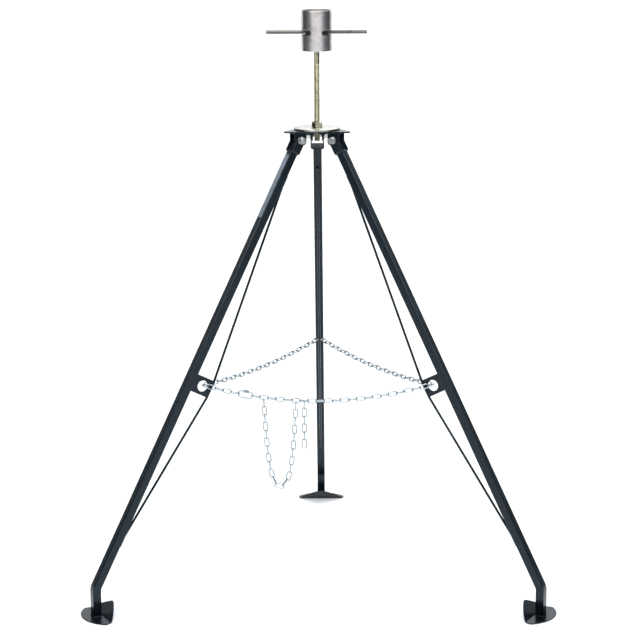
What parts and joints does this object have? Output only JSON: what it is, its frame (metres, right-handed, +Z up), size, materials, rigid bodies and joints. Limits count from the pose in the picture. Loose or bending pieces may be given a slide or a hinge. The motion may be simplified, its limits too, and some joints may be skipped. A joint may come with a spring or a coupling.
{
  "type": "trailer king-pin tripod stand",
  "caption": "Height-adjustable steel tripod that supports a parked trailer's king pin: a cup on a jack screw, folding legs with truss rods, a tie chain and foot pads.",
  "frame": {"origin": "on the ground, under the jack screw's axis", "axes": "+Z up along the screw; +Y towards the back leg; the left and right legs stand 30 degrees forward of -X and +X"},
  "size_m": [1.2218, 1.0798, 1.514],
  "materials": {
    "bright_zinc": "bright zinc plate",
    "yellow_zinc": "yellow zinc plate",
    "bearing_steel": "plain steel",
    "bare_bar": "plain drawn steel",
    "silver_plate": "pale zinc plate",
    "black_gloss_paint": "gloss black powder coat",
    "bolt_zinc": "bright zinc plate",
    "chain_zinc": "bright zinc plate"
  },
  "bodies": {
    "head": {"lift_nut": "yellow_zinc", "top_disc": "silver_plate", "head_plate": "black_gloss_paint", "hinge_bracket_left": "black_gloss_paint", "hinge_bracket_right": "black_gloss_paint", "hinge_bracket_back": "black_gloss_paint"},
    "cup": {"king_pin_cup": "bright_zinc", "cup_floor": "bright_zinc", "cup_base": "bright_zinc"},
    "screw": {"jack_screw": "yellow_zinc", "screw_head": "yellow_zinc", "turning_bar": "bare_bar", "thrust_washer": "bearing_steel", "retaining_clip": "yellow_zinc", "stop_pin": "bare_bar"},
    "left_leg": {"leg_tube_left": "black_gloss_paint", "leg_yoke_left": "black_gloss_paint", "pivot_bolt_left": "bolt_zinc", "pivot_nut_left": "bolt_zinc", "pivot_washers_left": "bolt_zinc", "truss_rod_left": "black_gloss_paint", "chain_plate_left": "black_gloss_paint", "foot_pad_left": "black_gloss_paint", "hole_link_left": "chain_zinc"},
    "right_leg": {"leg_tube_right": "black_gloss_paint", "leg_yoke_right": "black_gloss_paint", "pivot_bolt_right": "bolt_zinc", "pivot_nut_right": "bolt_zinc", "pivot_washers_right": "bolt_zinc", "truss_rod_right": "black_gloss_paint", "chain_plate_right": "black_gloss_paint", "foot_pad_right": "black_gloss_paint", "hole_link_right": "chain_zinc"},
    "back_leg": {"leg_tube_back": "black_gloss_paint", "leg_yoke_back": "black_gloss_paint", "pivot_bolt_back": "bolt_zinc", "pivot_nut_back": "bolt_zinc", "pivot_washers_back": "bolt_zinc", "truss_rod_back": "black_gloss_paint", "chain_plate_back": "black_gloss_paint", "foot_pad_back": "black_gloss_paint", "hole_link_back": "chain_zinc"},
    "left_chain_front": {"left_chain_front_half": "chain_zinc"},
    "left_chain_back": {"left_chain_back_half": "chain_zinc"},
    "right_chain_front": {"right_chain_front_half": "chain_zinc"},
    "right_chain_back": {"right_chain_back_half": "chain_zinc"},
    "front_chain_left": {"front_chain_left_half": "chain_zinc", "quick_link": "chain_zinc", "quick_link_sleeve": "chain_zinc"},
    "front_chain_right": {"front_chain_right_half": "chain_zinc"},
    "surplus_loop": {"surplus_loop": "chain_zinc"},
    "surplus_tail": {"surplus_tail": "chain_zinc"}
  },
  "joints": [
    {"name": "lift", "type": "slide", "parent": "head", "child": "cup", "axis": [0, 0, 1], "range_m": [-0.1441, 0.014]},
    {"name": "bar_swing", "type": "hinge", "parent": "cup", "child": "screw", "pos_m": [0, 0, 1.458], "axis": [0, 0, 1], "range_deg": [-60, 60]},
    {"name": "left_leg_fold", "type": "hinge", "parent": "head", "child": "left_leg", "pos_m": [-0.0485, -0.028, 1.185], "axis": [0.5, -0.866, 0], "range_deg": [0, 25], "deforming": ["front_chain_left_half", "front_chain_right_half", "left_chain_front_half", "left_chain_back_half", "right_chain_front_half", "right_chain_back_half", "quick_link", "quick_link_sleeve", "surplus_loop", "surplus_tail"]},
    {"name": "right_leg_fold", "type": "hinge", "parent": "head", "child": "right_leg", "pos_m": [0.0485, -0.028, 1.185], "axis": [0.5, 0.866, 0], "range_deg": [0, 25]},
    {"name": "back_leg_fold", "type": "hinge", "parent": "head", "child": "back_leg", "pos_m": [0, 0.056, 1.185], "axis": [-1, 0, 0], "range_deg": [0, 25]},
    {"name": "left_chain_front_swing", "type": "hinge", "parent": "left_leg", "child": "left_chain_front", "pos_m": [-0.29197, -0.15858, 0.56851], "axis": [-0.8039, 0.5881, 0.0892], "range_deg": [0, 102.22]},
    {"name": "left_chain_back_swing", "type": "hinge", "parent": "back_leg", "child": "left_chain_back", "pos_m": [-0.00865, 0.33215, 0.56851], "axis": [0.9107, -0.4032, -0.0894], "range_deg": [0, 102.97]},
    {"name": "right_chain_front_swing", "type": "hinge", "parent": "right_leg", "child": "right_chain_front", "pos_m": [0.29197, -0.15858, 0.56851], "axis": [-0.8039, -0.5881, -0.0892], "range_deg": [0, 102.22]},
    {"name": "right_chain_back_swing", "type": "hinge", "parent": "back_leg", "child": "right_chain_back", "pos_m": [0.00865, 0.33215, 0.56851], "axis": [0.9107, 0.4032, 0.0894], "range_deg": [0, 102.97]},
    {"name": "front_chain_left_swing", "type": "hinge", "parent": "left_leg", "child": "front_chain_left", "pos_m": [-0.28332, -0.17356, 0.56851], "axis": [-0.1149, 0.9895, -0.0876], "range_deg": [0, 97.47]},
    {"name": "front_chain_right_swing", "type": "hinge", "parent": "right_leg", "child": "front_chain_right", "pos_m": [0.28332, -0.17356, 0.56851], "axis": [-0.1143, -0.9896, 0.0878], "range_deg": [0, 97.88]},
    {"name": "surplus_loop_swing", "type": "hinge", "parent": "front_chain_left", "child": "surplus_loop", "pos_m": [-0.13931, -0.17356, 0.53259], "axis": [0, -1, 0], "range_deg": [0, 75.14]},
    {"name": "surplus_tail_swing", "type": "hinge", "parent": "front_chain_left", "child": "surplus_tail", "pos_m": [-0.03508, -0.17896, 0.52899], "axis": [0, -1, 0], "range_deg": [0, 75.14]}
  ],
  "couplings": [
    {"joint": "right_leg_fold", "follows": "left_leg_fold", "ratio": 1},
    {"joint": "back_leg_fold", "follows": "left_leg_fold", "ratio": 1},
    {"joint": "left_chain_front_swing", "follows": "left_leg_fold", "ratio": 4.069},
    {"joint": "left_chain_back_swing", "follows": "left_leg_fold", "ratio": 4.099},
    {"joint": "right_chain_front_swing", "follows": "left_leg_fold", "ratio": 4.069},
    {"joint": "right_chain_back_swing", "follows": "left_leg_fold", "ratio": 4.099},
    {"joint": "front_chain_left_swing", "follows": "left_leg_fold", "ratio": 3.879},
    {"joint": "front_chain_right_swing", "follows": "left_leg_fold", "ratio": 3.8953},
    {"joint": "surplus_loop_swing", "follows": "left_leg_fold", "ratio": 2.9855},
    {"joint": "surplus_tail_swing", "follows": "left_leg_fold", "ratio": 2.9855}
  ]
}
